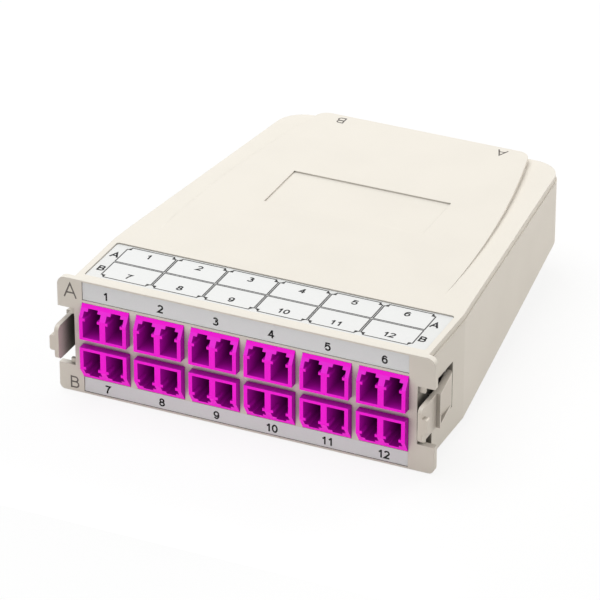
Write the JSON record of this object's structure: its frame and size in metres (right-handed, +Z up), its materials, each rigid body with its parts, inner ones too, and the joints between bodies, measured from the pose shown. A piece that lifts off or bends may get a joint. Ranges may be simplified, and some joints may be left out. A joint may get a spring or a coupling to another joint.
{
  "type": "fibre cassette",
  "caption": "Slim tapered fibre cassette: duplex LC adapters in two rows on its front, multi-fibre ports on its rear, and a sprung latch on each side.",
  "frame": {"origin": "on the front face of the bezel, at the middle of its lower edge", "axes": "+X along the front from port 1 to port 6, +Y into the depth towards the rear ports, +Z up"},
  "size_m": [0.101, 0.1197, 0.0317],
  "materials": {
    "ivory_plastic": "satin moulded",
    "magenta_plastic": "satin moulded",
    "marking_strip": "matte film",
    "label_card": "matte printed film",
    "dark_plastic": "satin moulded",
    "plug_plastic": "satin moulded",
    "fibre_jacket": "smooth jacket",
    "ceramic": "polished zirconia",
    "steel": "zinc plated",
    "spring_steel": "bright"
  },
  "bodies": {
    "cassette": {"base_housing": "ivory_plastic", "top_cover": "ivory_plastic", "top_label": "label_card", "upper_marking_strip": "marking_strip", "lower_marking_strip": "marking_strip", "adapter_retainer": "dark_plastic", "fibre_harness": "fibre_jacket", "cover_screws": "steel", "mpo_adapter_a": "dark_plastic", "mpo_adapter_b": "dark_plastic", "mpo_plug_a": "plug_plastic", "mpo_plug_b": "plug_plastic", "upper_inner_plugs": "plug_plastic", "lower_inner_plugs": "plug_plastic", "upper_sleeves": "ceramic", "lower_sleeves": "ceramic", "left_latch_pin": "steel", "left_latch_spring": "spring_steel", "right_latch_pin": "steel", "right_latch_spring": "spring_steel", "lc_adapter_01": "magenta_plastic", "lc_adapter_02": "magenta_plastic", "lc_adapter_03": "magenta_plastic", "lc_adapter_04": "magenta_plastic", "lc_adapter_05": "magenta_plastic", "lc_adapter_06": "magenta_plastic", "lc_adapter_07": "magenta_plastic", "lc_adapter_08": "magenta_plastic", "lc_adapter_09": "magenta_plastic", "lc_adapter_10": "magenta_plastic", "lc_adapter_11": "magenta_plastic", "lc_adapter_12": "magenta_plastic"},
    "left_latch": {"left_latch": "ivory_plastic"},
    "right_latch": {"right_latch": "ivory_plastic"}
  },
  "joints": [
    {"name": "left_latch_press", "type": "hinge", "parent": "cassette", "child": "left_latch", "pos_m": [-0.0466, 0.0145, 0.0154], "axis": [0, 0, 1], "range_deg": [0, 5.5], "stiffness_Nm_per_rad": 0.02, "springref_deg": -11.46},
    {"name": "right_latch_press", "type": "hinge", "parent": "cassette", "child": "right_latch", "pos_m": [0.0466, 0.0145, 0.0154], "axis": [0, 0, -1], "range_deg": [0, 5.5], "stiffness_Nm_per_rad": 0.02, "springref_deg": -11.46}
  ]
}
